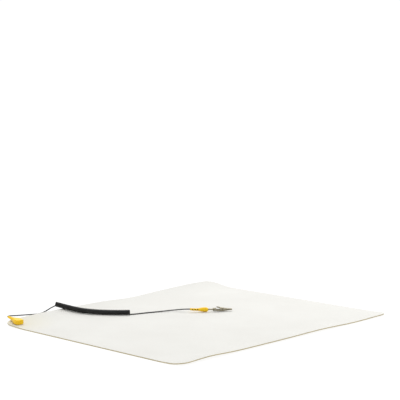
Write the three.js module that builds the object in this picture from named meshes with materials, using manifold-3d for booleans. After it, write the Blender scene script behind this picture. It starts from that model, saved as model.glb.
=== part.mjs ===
// Anti static bench mat with a coiled ground lead: a thin sheet whose two long edges curl up,
// a snap stud near one corner, and a lead from the snap to an alligator clip that lies on the mat.
// Millimetres, +Z up. The origin is the middle of the mat's underside and +X runs along its long side.
import * as THREE from "three";
import { mergeVertices } from "three/addons/utils/BufferGeometryUtils.js";
import Module from "manifold-3d";

const wasm = await Module();
wasm.setup();

// Mat
const MAT_LENGTH = 600;
const MAT_WIDTH = 500;
const MAT_THICKNESS = 2;
const MAT_CORNER_RADIUS = 25;
const CORNER_CELLS = 4;
const CELL_LENGTH = 25;
const FLAT_CELL_WIDTH = 45;
const CURL_CELL_WIDTH = 12;

// How far each long edge of the mat curls up, and over what width
const FAR_CURL_HEIGHT = 8.8;
const FAR_CURL_WIDTH = 70;
const NEAR_CURL_HEIGHT = 2.4;
const NEAR_CURL_WIDTH = 60;

// Waves in each edge's lift: how much it rises or drops, where along X, and over what width
const FAR_WAVES = [[-3.8, -300, 70], [-3.2, 45, 60], [2.6, 235, 75]];
const NEAR_WAVES = [[2.4, -225, 45], [1, 75, 60], [-1.4, 190, 60]];

// Free-standing gap between neighbouring solids
const GAP = 0.3;

// Snap fastener
const SNAP_FROM_SHORT_EDGE = 17.5;
const SNAP_FROM_LONG_EDGE = 28;
const LEAD_ANGLE = 85;
const STUD_FLANGE_RADIUS = 5;
const STUD_FLANGE_THICKNESS = 0.5;
const STUD_HEAD_RADIUS = 3.4;
const STUD_NECK_RADIUS = 3;
const STUD_HEIGHT = 2.9;
const STUD_BORE_RADIUS = 2;
const RIVET_RADIUS = 6;
const RIVET_THICKNESS = 0.4;
const RIVET_INSET = 0.1;
const SOCKET_WALL = 2.2;
const SOCKET_ROOF = 0.7;

// Yellow snap housing and its tail
const HOUSING_WIDTH = 18.4;
const HOUSING_HEIGHT = 9.4;
const HOUSING_NOSE = 9;
const HOUSING_SHOULDER = 1;
const TAIL_START = 22.5;
const TAIL_END = 36;
const TAIL_START_RADIUS = 3.3;
const TAIL_END_RADIUS = 2.2;
const TAIL_RISE = 0.2;

// Lead
const WIRE_RADIUS = 1.15;
const COIL_RADIUS = 5.25;

// Plug boot, pin and clip, placed along one axis that starts at the thickest part of the boot
const CLIP_AXIS_POINT = new THREE.Vector3(55.7, 40.5, 7.35);
const CLIP_AXIS_END = new THREE.Vector3(103.8, 4.1, 6.1);
const BOOT_TAIL = -27.6;
const BOOT_NECK = -11.5;
const BOOT_FRONT = 9.7;
const BOOT_RADIUS = 4.7;
const BOOT_TAIL_RADIUS = 2.3;
const BOOT_RIBS = 3;
const BOOT_RIB_PITCH = 4.85;
const BOOT_RIB_SLOT = 2.2;
const BOOT_WEB = 1.1;
const BOOT_TAIL_SWAY = 3;
const BOOT_TAIL_LIFT = 0.5;
const PIN_RADIUS = 1.6;
const PIN_SEAT = 8;
const CLIP_START = 19.7;
const CLIP_END = 59.7;
const CLIP_WALL = 0.6;
const BARREL_LENGTH = 5.8;
const BARREL_RADIUS = 2.5;
const LOWER_DEPTH = 3;
const LOWER_HALF_WIDTH = 2.4;
const UPPER_HALF_WIDTH = 3.3;
const TIP_HALF_WIDTH = 1.3;
const PIVOT_X = 38;
const TAPER_START = PIVOT_X + 3;
const PIVOT_Z = 0.6;
const PIVOT_RADIUS = 0.9;
const PIVOT_HEAD_RADIUS = 1.6;
const PIVOT_HEAD_THICKNESS = 0.5;
const LEVER_X = 28.4;
const LEVER_TOP = 5.7;
const LEVER_ROLL_RADIUS = 0.9;
const LEVER_WIDTH = 4.4;
const TEETH_START = 46;
const TEETH = 8;
const TOOTH_PITCH = 1.6;
const TOOTH_DEPTH = 0.6;
const SPRING_RADIUS = 1.6;
const SPRING_WIRE_RADIUS = 0.28;
const SPRING_TURNS = 3;

// Colours of the pieces
const steel = (color) => new THREE.MeshStandardMaterial({ color, roughness: 0.35, metalness: 1 });
const plastic = (color) => new THREE.MeshStandardMaterial({ color, roughness: 0.5, metalness: 0 });

const group = new THREE.Group();

// Gives a closed geometry as one solid that the booleans can work on.
function solidOf(geometry) {
  const bare = geometry.clone();
  bare.deleteAttribute("normal");
  bare.deleteAttribute("uv");
  const merged = mergeVertices(bare, 1e-4);
  const corners = merged.index.array;
  const faces = [];
  for (let i = 0; i < corners.length; i += 3) {
    const [a, b, c] = [corners[i], corners[i + 1], corners[i + 2]];
    if (a !== b && b !== c && c !== a) faces.push(a, b, c);
  }
  return new wasm.Manifold(
    new wasm.Mesh({
      numProp: 3,
      vertProperties: merged.attributes.position.array,
      triVerts: new Uint32Array(faces),
    }),
  );
}

function geometryOf(solid) {
  const mesh = solid.getMesh();
  const geometry = new THREE.BufferGeometry();
  geometry.setAttribute("position", new THREE.BufferAttribute(mesh.vertProperties, 3));
  geometry.setIndex(new THREE.BufferAttribute(mesh.triVerts, 1));
  geometry.computeVertexNormals();
  return geometry;
}

function addPiece(name, geometry, material, parent = group) {
  const mesh = new THREE.Mesh(geometry, material);
  mesh.name = name;
  parent.add(mesh);
  return mesh;
}

// A turned piece about Z from points [radius, height], going round the section anticlockwise.
function turned(points, sides = 24) {
  const profile = points.map(([r, z]) => new THREE.Vector2(r, z));
  return new THREE.LatheGeometry(profile, sides).rotateX(Math.PI / 2);
}

// A turned piece whose axis is X.
function turnedAlongX(points, sides = 20) {
  return turned(points, sides).rotateY(Math.PI / 2);
}

// A side profile in X and Z, given a width along Y and centred on Y = 0.
function sideProfile(points, width) {
  const shape = new THREE.Shape(points.map(([x, z]) => new THREE.Vector2(x, z)));
  const geometry = new THREE.ExtrudeGeometry(shape, { depth: width, bevelEnabled: false });
  return geometry.translate(0, 0, -width / 2).rotateX(Math.PI / 2);
}

// A surface of rings that each hold the same number of points, closed by a flat cap at both ends.
function lofted(rings) {
  const count = rings[0].length;
  const positions = rings.flat().flatMap((p) => [p.x, p.y, p.z]);
  const faces = [];
  for (let i = 0; i + 1 < rings.length; i++) {
    for (let j = 0; j < count; j++) {
      const k = (j + 1) % count;
      const [a, b] = [i * count + j, i * count + k];
      faces.push(a, a + count, b, b, a + count, b + count);
    }
  }
  [rings[0], rings.at(-1)].forEach((ring, end) => {
    const middle = ring.reduce((sum, p) => sum.add(p), new THREE.Vector3()).divideScalar(count);
    const first = end ? (rings.length - 1) * count : 0;
    const centre = positions.length / 3;
    positions.push(middle.x, middle.y, middle.z);
    for (let j = 0; j < count; j++) {
      const k = (j + 1) % count;
      faces.push(centre, first + (end ? k : j), first + (end ? j : k));
    }
  });
  const geometry = new THREE.BufferGeometry();
  geometry.setAttribute("position", new THREE.Float32BufferAttribute(positions, 3));
  geometry.setIndex(faces);
  return geometry;
}

// A round tube along a smooth curve through the points.
function tube(points, radius, steps, sides) {
  const section = new THREE.Shape(new THREE.EllipseCurve(0, 0, radius, radius).getPoints(sides));
  const route = new THREE.CatmullRomCurve3(points.map((p) => new THREE.Vector3(...p)), false, "centripetal");
  return new THREE.ExtrudeGeometry(section, { steps, extrudePath: route, bevelEnabled: false });
}

const wave = (waves, x) =>
  waves.reduce((sum, [rise, middle, width]) => sum + rise * Math.exp(-(((x - middle) / width) ** 2)), 0);
const smooth = (t) => THREE.MathUtils.smoothstep(t, 0, 1);

// Height of the mat's underside: each long edge rises as the square of the distance into its curl,
// and the lift varies along the edge, lower at the snap corner and lowest just past the middle.
function undersideHeight(x, y) {
  const farLift = FAR_CURL_HEIGHT + wave(FAR_WAVES, x);
  const nearLift = NEAR_CURL_HEIGHT + wave(NEAR_WAVES, x);
  const far = Math.max(0, (y - (MAT_WIDTH / 2 - FAR_CURL_WIDTH)) / FAR_CURL_WIDTH);
  const near = Math.max(0, (-y - (MAT_WIDTH / 2 - NEAR_CURL_WIDTH)) / NEAR_CURL_WIDTH);
  return farLift * far ** 2 + nearLift * near ** 2;
}

// Distances along one side of the mat at which the grid has a line: corner cells at both ends,
// and between them stretches of even cells.
function gridLines(size, stretches) {
  const lines = [];
  const addStretch = (from, to, cells) => {
    for (let i = 0; i < cells; i++) lines.push(from + ((to - from) * i) / cells);
  };
  const inner = size / 2 - MAT_CORNER_RADIUS;
  addStretch(-size / 2, -inner, CORNER_CELLS);
  stretches(inner).forEach(([from, to, cell]) => addStretch(from, to, Math.max(1, Math.round((to - from) / cell))));
  addStretch(inner, size / 2, CORNER_CELLS);
  lines.push(size / 2);
  return lines;
}

// Moves a point of a corner cell so that the square corner becomes a quarter disc.
function roundCorner(x, y) {
  const cornerX = MAT_LENGTH / 2 - MAT_CORNER_RADIUS;
  const cornerY = MAT_WIDTH / 2 - MAT_CORNER_RADIUS;
  const dx = Math.abs(x) - cornerX;
  const dy = Math.abs(y) - cornerY;
  if (dx <= 0 || dy <= 0) return [x, y];
  const shrink = Math.max(dx, dy) / Math.hypot(dx, dy);
  return [Math.sign(x) * (cornerX + dx * shrink), Math.sign(y) * (cornerY + dy * shrink)];
}

function matGeometry() {
  const columns = gridLines(MAT_LENGTH, (inner) => [[-inner, inner, CELL_LENGTH]]);
  const rows = gridLines(MAT_WIDTH, (inner) => {
    const nearEnd = NEAR_CURL_WIDTH - MAT_WIDTH / 2;
    const farStart = MAT_WIDTH / 2 - FAR_CURL_WIDTH;
    return [
      [-inner, nearEnd, CURL_CELL_WIDTH],
      [nearEnd, farStart, FLAT_CELL_WIDTH],
      [farStart, inner, CURL_CELL_WIDTH],
    ];
  });
  const positions = [];
  const faces = [];
  const across = columns.length;
  const layer = across * rows.length;
  for (const lift of [0, MAT_THICKNESS]) {
    for (const row of rows) {
      for (const column of columns) {
        const [x, y] = roundCorner(column, row);
        positions.push(x, y, undersideHeight(x, y) + lift);
      }
    }
  }
  const addQuad = (a, b, c, d) => faces.push(a, b, c, a, c, d);
  for (let j = 0; j + 1 < rows.length; j++) {
    for (let i = 0; i + 1 < across; i++) {
      const a = j * across + i;
      const [b, c, d] = [a + 1, a + across + 1, a + across];
      addQuad(a, d, c, b);
      addQuad(a + layer, b + layer, c + layer, d + layer);
    }
  }
  const addWall = (a, b) => addQuad(a, b, b + layer, a + layer);
  const last = (rows.length - 1) * across;
  for (let i = 0; i + 1 < across; i++) {
    addWall(i, i + 1);
    addWall(last + i + 1, last + i);
  }
  for (let j = 0; j + 1 < rows.length; j++) {
    addWall((j + 1) * across, j * across);
    addWall((j + 1) * across - 1, (j + 2) * across - 1);
  }
  const geometry = new THREE.BufferGeometry();
  geometry.setAttribute("position", new THREE.Float32BufferAttribute(positions, 3));
  geometry.setIndex(faces);
  return geometry;
}

// The snap's own frame: its origin is on the mat's underside, its Z is square to the mat there,
// and its X points along the housing's tail.
function snapFrame() {
  const x = SNAP_FROM_SHORT_EDGE - MAT_LENGTH / 2;
  const y = MAT_WIDTH / 2 - SNAP_FROM_LONG_EDGE;
  const step = 0.5;
  const slopeX = (undersideHeight(x + step, y) - undersideHeight(x - step, y)) / (2 * step);
  const slopeY = (undersideHeight(x, y + step) - undersideHeight(x, y - step)) / (2 * step);
  const up = new THREE.Vector3(-slopeX, -slopeY, 1).normalize();
  const angle = THREE.MathUtils.degToRad(LEAD_ANGLE);
  const along = new THREE.Vector3(Math.cos(angle), Math.sin(angle), 0);
  along.addScaledVector(up, -along.dot(up)).normalize();
  const frame = new THREE.Group();
  frame.matrixAutoUpdate = false;
  frame.matrix.makeBasis(along, up.clone().cross(along), up);
  frame.matrix.setPosition(x, y, undersideHeight(x, y));
  return frame;
}

const snap = snapFrame();
group.add(snap);

const matTop = MAT_THICKNESS;
const recessDepth = RIVET_INSET + RIVET_THICKNESS + GAP;
const studBottom = matTop + GAP;
const studTop = studBottom + STUD_HEIGHT;
const holeCutter = turned([
  [0, -1],
  [RIVET_RADIUS + GAP, -1],
  [RIVET_RADIUS + GAP, recessDepth],
  [STUD_BORE_RADIUS + 0.1, recessDepth],
  [STUD_BORE_RADIUS + 0.1, matTop + 1],
  [0, matTop + 1],
]).applyMatrix4(snap.matrix);
addPiece(
  "mat",
  geometryOf(solidOf(matGeometry()).subtract(solidOf(holeCutter))),
  plastic(0xf4f3ee),
);

const flangeTop = studBottom + STUD_FLANGE_THICKNESS;
addPiece(
  "snap_stud",
  turned([
    [STUD_BORE_RADIUS, studBottom],
    [STUD_FLANGE_RADIUS, studBottom],
    [STUD_FLANGE_RADIUS, flangeTop],
    [STUD_NECK_RADIUS, flangeTop + 0.1],
    [STUD_NECK_RADIUS, flangeTop + 0.7],
    [STUD_HEAD_RADIUS, flangeTop + 1.1],
    [STUD_HEAD_RADIUS, studTop - 0.5],
    [STUD_HEAD_RADIUS - 0.5, studTop],
    [STUD_BORE_RADIUS, studTop],
    [STUD_BORE_RADIUS, studBottom],
  ]),
  steel(0xc4c2bb),
  snap,
);
addPiece(
  "snap_rivet",
  turned([
    [0, RIVET_INSET],
    [RIVET_RADIUS, RIVET_INSET],
    [RIVET_RADIUS, RIVET_INSET + RIVET_THICKNESS],
    [STUD_BORE_RADIUS - GAP, RIVET_INSET + RIVET_THICKNESS],
    [STUD_BORE_RADIUS - GAP, studTop - GAP],
    [0, studTop - GAP],
  ]),
  steel(0xc4c2bb),
  snap,
);

const socketBottom = flangeTop + GAP;
const socketBore = STUD_HEAD_RADIUS + GAP;
const socketRadius = socketBore + SOCKET_WALL;
const socketRoof = studTop + GAP;
const socketTop = socketRoof + SOCKET_ROOF;
addPiece(
  "snap_socket",
  turned([
    [0, socketRoof],
    [socketBore, socketRoof],
    [socketBore, socketBottom],
    [socketRadius, socketBottom],
    [socketRadius, socketTop],
    [0, socketTop],
  ]),
  steel(0xc4c2bb),
  snap,
);

// The housing: rounded sections along the tail's direction. The nose is a superellipse in plan, the body
// tapers from its shoulder to the tail, whose end rises a little to meet the wire.
const HOUSING_STATIONS = 22;
const HOUSING_SIDES = 24;
const housingBottom = matTop + GAP;
const housingMiddle = housingBottom + HOUSING_HEIGHT / 2;

function housingSection(u) {
  const noseStart = HOUSING_SHOULDER - 3;
  const nose = Math.max(0, (noseStart - u) / (HOUSING_NOSE + noseStart));
  const roundNose = Math.max(0, 1 - nose ** 3) ** (1 / 3);
  const tailRadius = THREE.MathUtils.mapLinear(
    Math.max(u, TAIL_START), TAIL_START, TAIL_END, TAIL_START_RADIUS, TAIL_END_RADIUS,
  );
  const taper = smooth((u - HOUSING_SHOULDER) / (TAIL_START - HOUSING_SHOULDER));
  const flatten = smooth((u - HOUSING_SHOULDER - 4) / (TAIL_START - HOUSING_SHOULDER - 2));
  const bodyHalfWidth = (HOUSING_WIDTH / 2) * Math.max(roundNose, 0.3);
  const bodyHalfHeight = (HOUSING_HEIGHT / 2) * Math.max(1 - nose ** 8, 0) ** (1 / 8);
  return {
    halfWidth: THREE.MathUtils.lerp(bodyHalfWidth, tailRadius, taper),
    halfHeight: THREE.MathUtils.lerp(Math.max(bodyHalfHeight, HOUSING_HEIGHT * 0.3), tailRadius, flatten),
    exponent: THREE.MathUtils.lerp(5, 2, taper),
    middle: housingMiddle + TAIL_RISE * Math.max(0, (u - TAIL_START / 2) / (TAIL_END - TAIL_START / 2)) ** 2,
  };
}

function housingRing(u) {
  const { halfWidth, halfHeight, exponent, middle } = housingSection(u);
  const ring = [];
  for (let j = 0; j < HOUSING_SIDES; j++) {
    const angle = (2 * Math.PI * j) / HOUSING_SIDES;
    const [c, s] = [Math.cos(angle), Math.sin(angle)];
    const reach = (Math.abs(c) ** exponent + Math.abs(s) ** exponent) ** (-1 / exponent);
    ring.push(new THREE.Vector3(u, -c * reach * halfWidth, middle + s * reach * halfHeight));
  }
  return ring;
}

function housingGeometry() {
  const rings = [];
  for (let i = 0; i <= HOUSING_STATIONS; i++) {
    const t = i / HOUSING_STATIONS;
    rings.push(housingRing(THREE.MathUtils.lerp(-HOUSING_NOSE, TAIL_END, t ** 1.5)));
  }
  const pocket = turned([
    [0, 0],
    [socketRadius + GAP, 0],
    [socketRadius + GAP, socketTop + GAP],
    [0, socketTop + GAP],
  ]);
  return geometryOf(solidOf(lofted(rings)).subtract(solidOf(pocket)));
}
addPiece("snap_housing", housingGeometry(), plastic(0xfccf2e), snap);

// The wire from the tail, round to the right behind the raised edge of the mat, and up to the coil.
const SNAP_WIRE = [
  [-279.4, 257.6, 12.35],
  [-278.6, 260.4, 12.4],
  [-275.2, 263.4, 12.2],
  [-270.3, 265.3, 11.9],
  [-263.1, 266.2, 11.1],
  [-253.7, 266.4, 9.9],
  [-242.3, 266.4, 8.9],
  [-231.3, 266.0, 7.9],
  [-221.8, 265.4, 7.1],
  [-212.2, 264.6, 6.3],
  [-200.1, 263.9, 5.6],
  [-187.2, 264.0, 6.6],
  [-176.2, 264.3, 9.4],
  [-164.8, 265.2, 12.9],
  [-159.6, 265.6, 14.4],
  [-156.4, 265.7, 15.4],
];
addPiece("snap_wire", tube(SNAP_WIRE, WIRE_RADIUS, 28, 8), plastic(0x24251f));

// The coiled stretch, closed up: one tube of its outer diameter. It lies on the mat, climbs the curl
// and rests on the raised edge.
const COIL = [
  [-67.2, 129.1, 7.6],
  [-92.2, 156.2, 7.6],
  [-111.2, 184.1, 7.8],
  [-129.1, 213.5, 10.0],
  [-143.0, 241.2, 14.8],
  [-154.2, 263.8, 19.5],
];
addPiece("coil_cord", tube(COIL, COIL_RADIUS, 14, 12), plastic(0x1d1d1b));

// The straight stretch from the coil's other end to the plug.
const CLIP_WIRE = [
  [-66.8, 128.5, 3.5],
  [-62.0, 126.2, 3.35],
  [-55.8, 124.2, 3.3],
  [-46.0, 121.3, 3.3],
  [-35.0, 117.5, 3.3],
  [-25.0, 113.5, 3.35],
  [-15.0, 109.0, 3.5],
  [-4.5, 104.0, 3.7],
  [5.5, 98.4, 4.2],
  [14.0, 92.3, 4.9],
  [20.5, 85.5, 5.7],
  [25.5, 78.0, 6.8],
  [29.5, 70.5, 7.8],
  [32.6, 64.2, 8.3],
  [35.2, 60.0, 8.5],
];
addPiece("clip_wire", tube(CLIP_WIRE, WIRE_RADIUS, 26, 8), plastic(0x24251f));

// The clip's own frame: X runs from the boot's tail to the clip's tip.
function clipFrame() {
  const along = CLIP_AXIS_END.clone().sub(CLIP_AXIS_POINT).normalize();
  const side = new THREE.Vector3(0, 0, 1).cross(along).normalize();
  const frame = new THREE.Group();
  frame.matrixAutoUpdate = false;
  frame.matrix.makeBasis(along, side, along.clone().cross(side));
  frame.matrix.setPosition(CLIP_AXIS_POINT);
  return frame;
}

const clip = clipFrame();
group.add(clip);

// The boot: a ribbed tail that flexes, then a body like a drop with a blunt front that holds the pin.
function bootGeometry() {
  const tailBore = WIRE_RADIUS + GAP;
  const frontBore = PIN_RADIUS + GAP;
  const seat = BOOT_FRONT - PIN_SEAT;
  const outline = [
    [0, BOOT_NECK - 4],
    [tailBore, BOOT_NECK - 4],
    [tailBore, BOOT_TAIL],
    [BOOT_TAIL_RADIUS - 0.3, BOOT_TAIL],
    [BOOT_TAIL_RADIUS, BOOT_TAIL + 0.4],
    [BOOT_TAIL_RADIUS + 0.3, BOOT_NECK],
    [3.4, BOOT_NECK + 3.2],
    [4.3, BOOT_NECK + 7],
    [BOOT_RADIUS - 0.15, BOOT_NECK + 10.8],
    [BOOT_RADIUS, BOOT_NECK + 13.5],
    [BOOT_RADIUS - 0.05, BOOT_FRONT - 3.4],
    [BOOT_RADIUS - 0.5, BOOT_FRONT - 1.3],
    [BOOT_RADIUS - 1.5, BOOT_FRONT - 0.2],
    [BOOT_RADIUS - 2.1, BOOT_FRONT],
    [frontBore, BOOT_FRONT],
    [frontBore, seat],
    [0, seat],
  ];
  let body = solidOf(turnedAlongX(outline));
  for (let i = 0; i < BOOT_RIBS; i++) {
    const middle = BOOT_TAIL + 2.9 + i * BOOT_RIB_PITCH;
    const slot = new THREE.BoxGeometry(BOOT_RIB_SLOT, 4 * BOOT_TAIL_RADIUS, 2 * (BOOT_TAIL_RADIUS + 0.3 - BOOT_WEB));
    body = body.subtract(solidOf(slot.translate(middle, 0, 0)));
  }
  return bendTail(geometryOf(body));
}

// The wire pulls the boot's ribbed tail aside and a little up, growing as the square of the distance.
function bendTail(geometry) {
  const position = geometry.attributes.position;
  for (let i = 0; i < position.count; i++) {
    const share = Math.max(0, (BOOT_NECK - position.getX(i)) / (BOOT_NECK - BOOT_TAIL)) ** 2;
    position.setY(i, position.getY(i) + BOOT_TAIL_SWAY * share);
    position.setZ(i, position.getZ(i) + BOOT_TAIL_LIFT * share);
  }
  return geometry;
}
addPiece("plug_boot", bootGeometry(), plastic(0xf9c21f), clip);

// The banana pin: one end is held in the boot and the other is pushed into the clip's barrel.
const pinStart = BOOT_FRONT - PIN_SEAT + GAP;
const pinEnd = CLIP_START + BARREL_LENGTH - 0.6;
addPiece(
  "plug_pin",
  turnedAlongX([
    [0, pinStart],
    [PIN_RADIUS, pinStart],
    [PIN_RADIUS, CLIP_START],
    [PIN_RADIUS + 0.2, CLIP_START + 1.5],
    [PIN_RADIUS + 0.2, pinEnd - 1.5],
    [PIN_RADIUS - 0.5, pinEnd],
    [0, pinEnd],
  ], 16),
  steel(0xb9b29c),
  clip,
);

// A jaw's outline from above: even up to the pivot, then narrowing to the tip.
function planOutline(halfWidth, tipHalfWidth) {
  const shape = new THREE.Shape([
    new THREE.Vector2(CLIP_START, -halfWidth),
    new THREE.Vector2(TAPER_START, -halfWidth),
    new THREE.Vector2(CLIP_END, -tipHalfWidth),
    new THREE.Vector2(CLIP_END, tipHalfWidth),
    new THREE.Vector2(TAPER_START, halfWidth),
    new THREE.Vector2(CLIP_START, halfWidth),
  ]);
  const depth = 4 * LEVER_TOP;
  return solidOf(new THREE.ExtrudeGeometry(shape, { depth, bevelEnabled: false }).translate(0, 0, -depth / 2));
}

// A bent sheet channel: the outer side profile less the hollow, both narrowed in plan.
function jawChannel(outer, hollow, halfWidth) {
  const width = 4 * UPPER_HALF_WIDTH;
  const walls = solidOf(sideProfile(outer, width)).intersect(planOutline(halfWidth, TIP_HALF_WIDTH));
  const inside = planOutline(halfWidth - CLIP_WALL, TIP_HALF_WIDTH - CLIP_WALL);
  return walls.subtract(solidOf(sideProfile(hollow, width)).intersect(inside));
}

// The toothed edge where the jaws meet, offset up for the upper jaw and down for the lower one.
function toothedEdge(offset) {
  const points = [];
  for (let i = 0; i < TEETH; i++) {
    points.push([TEETH_START + i * TOOTH_PITCH, offset - TOOTH_DEPTH / 2]);
    points.push([TEETH_START + (i + 0.5) * TOOTH_PITCH, offset + TOOTH_DEPTH / 2]);
  }
  return points;
}

const pivotHole = () =>
  solidOf(
    new THREE.CylinderGeometry(PIVOT_RADIUS + GAP, PIVOT_RADIUS + GAP, 4 * UPPER_HALF_WIDTH, 16)
      .translate(PIVOT_X, 0, PIVOT_Z),
  );

// Lower jaw: a channel with ears at the pivot, joined to the barrel that takes the pin.
function lowerJawGeometry() {
  const barrelEnd = CLIP_START + BARREL_LENGTH;
  const edge = toothedEdge(-GAP / 2 - TOOTH_DEPTH / 4).reverse();
  const side = [
    [barrelEnd - 1.6, -BARREL_RADIUS + 0.3],
    [barrelEnd + 1.8, -LOWER_DEPTH],
    [TAPER_START, -LOWER_DEPTH],
    [CLIP_END - 0.3, -1.25],
    [CLIP_END, -0.75],
    ...edge,
    [PIVOT_X + 4.6, -0.5],
    [TAPER_START, 0.6],
    [PIVOT_X + 1.6, 2.4],
    [PIVOT_X - 1.6, 2.4],
    [PIVOT_X - 2.9, 1.2],
    [PIVOT_X - 4.6, 0.3],
    [barrelEnd - 1.6, 0.3],
  ];
  const channel = [
    [barrelEnd - 1, -LOWER_DEPTH + CLIP_WALL + 1.4],
    [barrelEnd + 2, -LOWER_DEPTH + CLIP_WALL],
    [TAPER_START, -LOWER_DEPTH + CLIP_WALL],
    [CLIP_END - 1, -1.1],
    [CLIP_END - 1, 4],
    [TAPER_START, 4],
    [barrelEnd - 1, 4],
  ];
  const barrel = solidOf(turnedAlongX([
    [0, CLIP_START],
    [BARREL_RADIUS, CLIP_START],
    [BARREL_RADIUS, barrelEnd],
    [0, barrelEnd],
  ]));
  const bore = solidOf(turnedAlongX([
    [0, CLIP_START - 1],
    [PIN_RADIUS + 0.2 + GAP, CLIP_START - 1],
    [PIN_RADIUS + 0.2 + GAP, barrelEnd + 1],
    [0, barrelEnd + 1],
  ]));
  const jaw = jawChannel(side, channel, LOWER_HALF_WIDTH);
  return geometryOf(jaw.add(barrel).subtract(bore).subtract(pivotHole()));
}
addPiece("clip_lower_jaw", lowerJawGeometry(), steel(0xa9a18b), clip);

// Upper jaw: an upturned channel over the lower one, and behind the pivot the thumb lever with its rolled end.
function upperJawGeometry() {
  const edge = toothedEdge(GAP / 2 + TOOTH_DEPTH / 4);
  const side = [
    [PIVOT_X - 2.6, 0.2],
    [PIVOT_X - 1.2, -0.9],
    [PIVOT_X + 1.2, -0.9],
    [TAPER_START, 0.1],
    ...edge,
    [CLIP_END, 0.6],
    [CLIP_END - 0.3, 1.1],
    [TAPER_START, 3.5],
    [PIVOT_X + 1, 3.9],
    [PIVOT_X - 2, 3.6],
    [PIVOT_X - 3, 3.1],
  ];
  const channel = [
    [PIVOT_X - 6, -3],
    [TAPER_START, -3],
    [CLIP_END - 1, -3],
    [CLIP_END - 1, 0.45],
    [TAPER_START, 2.8],
    [PIVOT_X + 1, 3.2],
    [PIVOT_X - 2, 3.0],
    [PIVOT_X - 6, 1.6],
  ];
  const rollZ = LEVER_TOP - LEVER_ROLL_RADIUS;
  const lever = [
    [PIVOT_X - 0.4, 3.3],
    [PIVOT_X - 0.4, 3.8],
    [PIVOT_X - 3.6, 3.8],
    [LEVER_X, LEVER_TOP - 0.2],
    [LEVER_X, LEVER_TOP - 0.9],
    [PIVOT_X - 3.4, 3.1],
  ];
  const strip = solidOf(sideProfile(lever, LEVER_WIDTH));
  const roll = solidOf(
    new THREE.CylinderGeometry(LEVER_ROLL_RADIUS, LEVER_ROLL_RADIUS, LEVER_WIDTH, 16)
      .translate(LEVER_X, 0, rollZ),
  );
  const jaw = jawChannel(side, channel, UPPER_HALF_WIDTH);
  return geometryOf(jaw.add(strip).add(roll).subtract(pivotHole()));
}
addPiece("clip_upper_jaw", upperJawGeometry(), steel(0xa9a18b), clip);

// The rivet both jaws turn on, with a head outside each wall of the upper jaw.
const headStart = UPPER_HALF_WIDTH + GAP;
const headEnd = headStart + PIVOT_HEAD_THICKNESS;
addPiece(
  "clip_pivot",
  turned([
    [0, -headEnd],
    [PIVOT_HEAD_RADIUS, -headEnd],
    [PIVOT_HEAD_RADIUS, -headStart],
    [PIVOT_RADIUS, -headStart],
    [PIVOT_RADIUS, headStart],
    [PIVOT_HEAD_RADIUS, headStart],
    [PIVOT_HEAD_RADIUS, headEnd],
    [0, headEnd],
  ], 16).rotateX(-Math.PI / 2).translate(PIVOT_X, 0, PIVOT_Z),
  steel(0x8f8874),
  clip,
);

// The spring around the rivet, between the lower jaw's ears.
function springPoints() {
  const points = [];
  const pieces = SPRING_TURNS * 10;
  const pitch = 0.9;
  for (let i = 0; i <= pieces; i++) {
    const angle = (2 * Math.PI * i) / 10;
    points.push([
      PIVOT_X + SPRING_RADIUS * Math.cos(angle),
      (i / pieces - 0.5) * SPRING_TURNS * pitch,
      PIVOT_Z + SPRING_RADIUS * Math.sin(angle),
    ]);
  }
  return points;
}
addPiece("clip_spring", tube(springPoints(), SPRING_WIRE_RADIUS, SPRING_TURNS * 10, 6), steel(0x9a968a), clip);

export default group;
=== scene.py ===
"""Anti static bench mat with its coiled ground lead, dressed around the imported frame.

Everything is in metres in the frame's own axes: +X along the mat's long side, +Y towards the long edge
that curls up most, +Z up. Each shape is a numpy surface: a function of two parameters on a grid, or a
section carried along a path.
"""

import bmesh
import bpy
import numpy as np
from mathutils import Matrix


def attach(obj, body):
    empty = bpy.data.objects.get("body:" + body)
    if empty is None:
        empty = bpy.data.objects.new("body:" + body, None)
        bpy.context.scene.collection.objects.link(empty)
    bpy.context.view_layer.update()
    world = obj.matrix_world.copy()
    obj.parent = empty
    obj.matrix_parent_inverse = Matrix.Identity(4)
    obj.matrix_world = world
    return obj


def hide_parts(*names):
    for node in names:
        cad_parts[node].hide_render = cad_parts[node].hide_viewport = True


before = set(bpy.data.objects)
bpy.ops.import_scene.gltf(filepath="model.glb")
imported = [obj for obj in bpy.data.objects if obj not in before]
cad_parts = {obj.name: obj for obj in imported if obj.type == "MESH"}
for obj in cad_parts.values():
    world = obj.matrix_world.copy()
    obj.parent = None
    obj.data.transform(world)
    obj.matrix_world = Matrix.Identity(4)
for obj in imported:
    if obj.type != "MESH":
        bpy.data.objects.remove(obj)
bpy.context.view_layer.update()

MM = 0.001

# Camera, fitted to the mat's four edges in the photograph
PHOTO_PIXELS = 400
FOCAL_PIXELS = 1242
CAMERA_PLACE = (-1.7501, -1.7235, 0.5144)
CAMERA_YAW = np.radians(45.539)
CAMERA_PITCH = np.radians(6.319)
CAMERA_ROLL = np.radians(-0.358)

# Light: the room's brightness level with the mat, and how much more comes from straight above
ROOM_LEVEL = 0.34
ROOM_RISE = 0.75
BACKDROP = 1.05
SKYLIGHT = 1.25
SKYLIGHT_WIDTH = np.radians(70)
SKYLIGHT_SIDE = np.array([0.5, 0.35, 0.78])
SIDE_LAMP = 1.2
SIDE_LAMP_SIZE = 0.6
SIDE_LAMP_PLACE = np.array([0.75, 0.05, 0.7])
SIDE_LAMP_TARGET = np.array([0.2, -0.05, 0])
FLOOR_REACH = 30
FLOOR_GLOW = 0.86

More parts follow.
